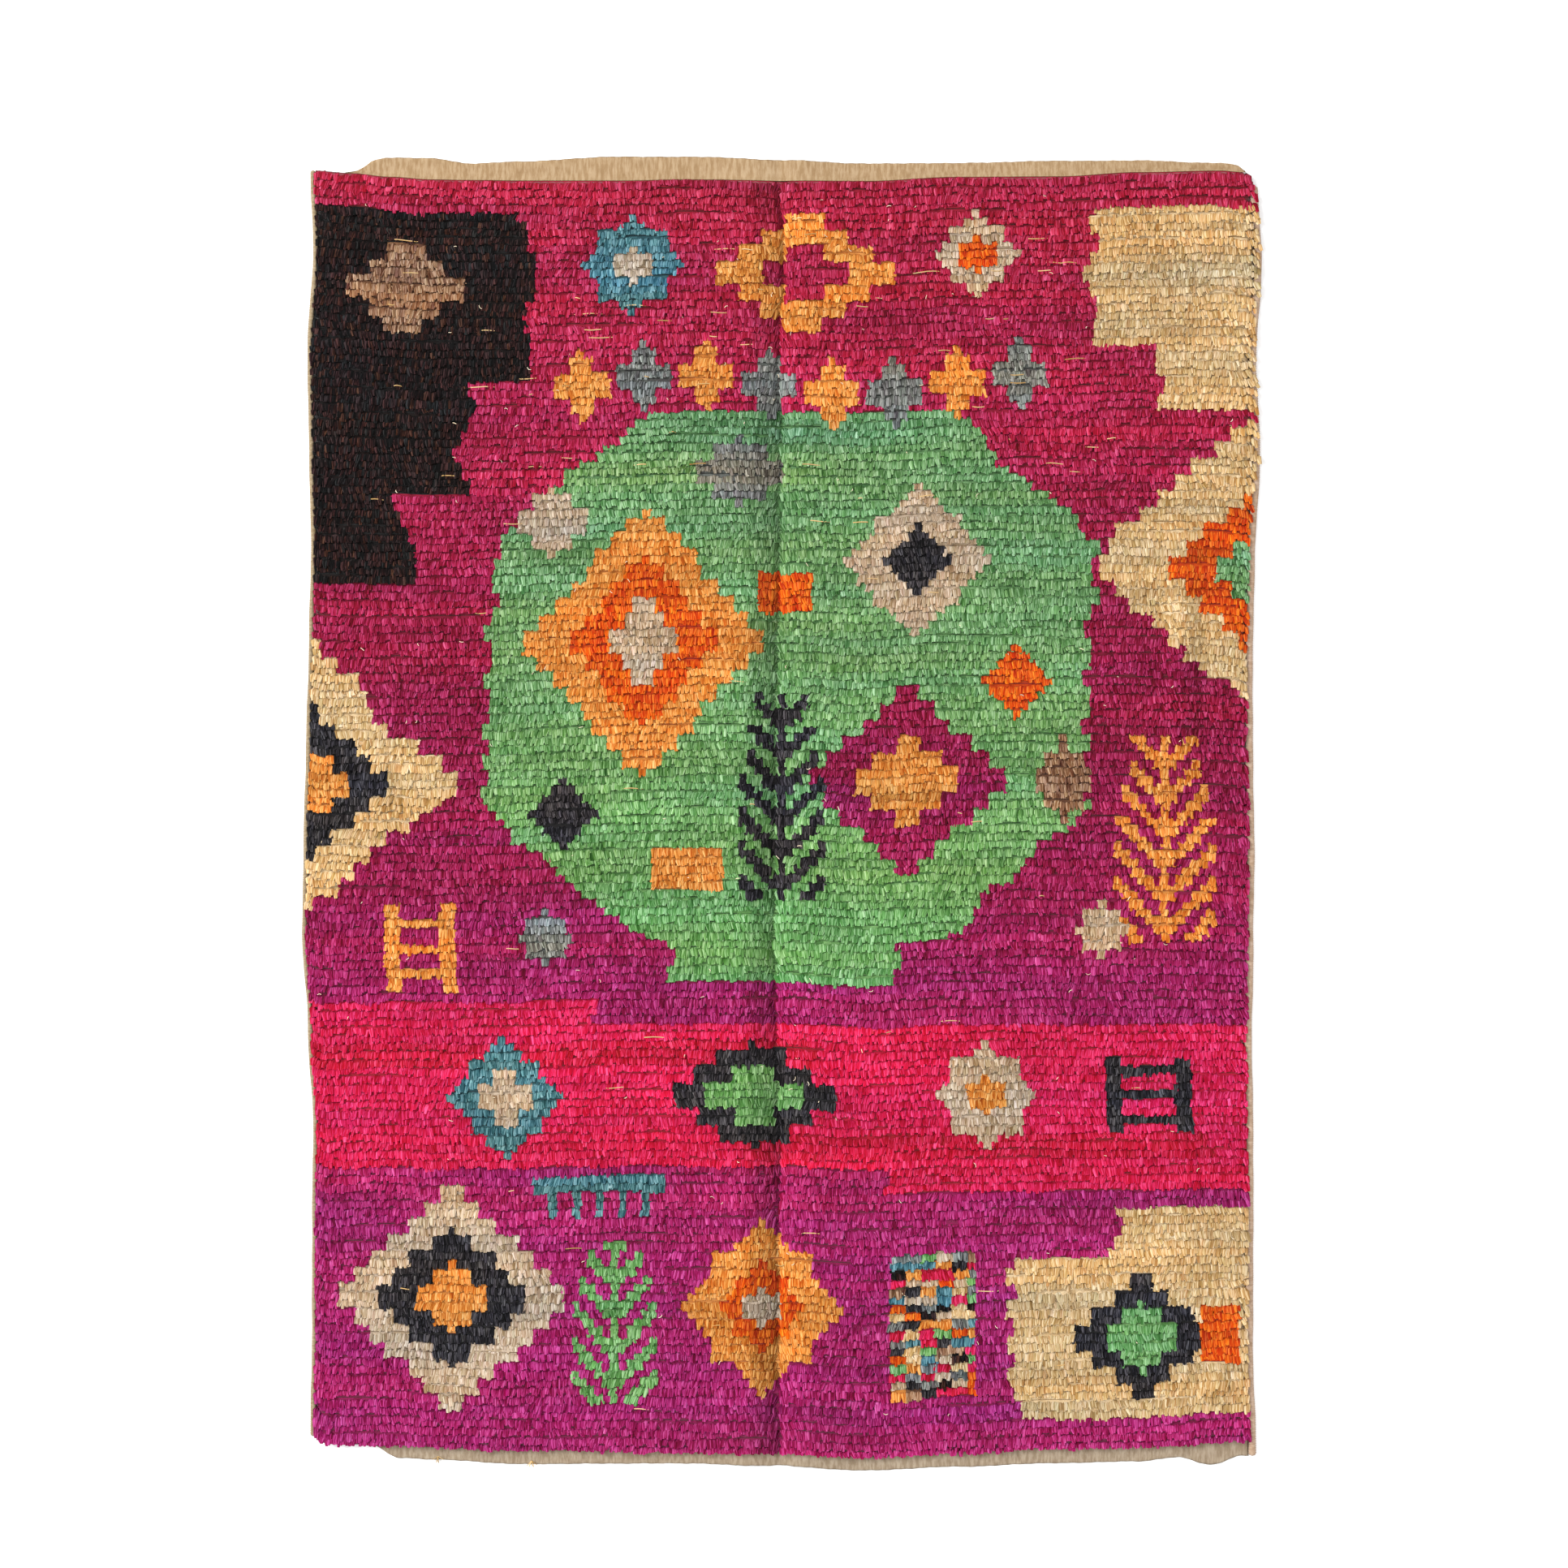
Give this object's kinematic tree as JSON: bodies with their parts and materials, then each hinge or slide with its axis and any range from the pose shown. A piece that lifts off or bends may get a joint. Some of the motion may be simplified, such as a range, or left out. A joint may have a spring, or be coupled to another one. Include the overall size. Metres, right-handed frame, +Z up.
{
  "type": "berber pile rug",
  "caption": "Large rectangular wool pile rug lying flat, with raised rows, flat-woven end bands, corded side edges, a lengthwise crease and soft ripples.",
  "frame": {"origin": "on the floor, under the middle of the rug's box", "axes": "+X across the rug to the right, +Y along it towards the wider flat-woven end, +Z up"},
  "size_m": [1.831, 2.51, 0.0271],
  "materials": {
    "pile_wool": "matt wool pile, mostly raspberry and magenta",
    "top_band_weave": "undyed tan wool in a fine flat weave",
    "bottom_band_weave": "undyed grey-tan wool in a fine flat weave",
    "left_cord_wool": "pale undyed wool, overcast round the edge warps",
    "right_cord_wool": "tan undyed wool, overcast round the edge warps"
  },
  "bodies": {
    "root": {"rug_field": "pile_wool", "end_weave_top": "top_band_weave", "end_weave_bottom": "bottom_band_weave", "selvedge_left": "left_cord_wool", "selvedge_right": "right_cord_wool"}
  },
  "joints": []
}
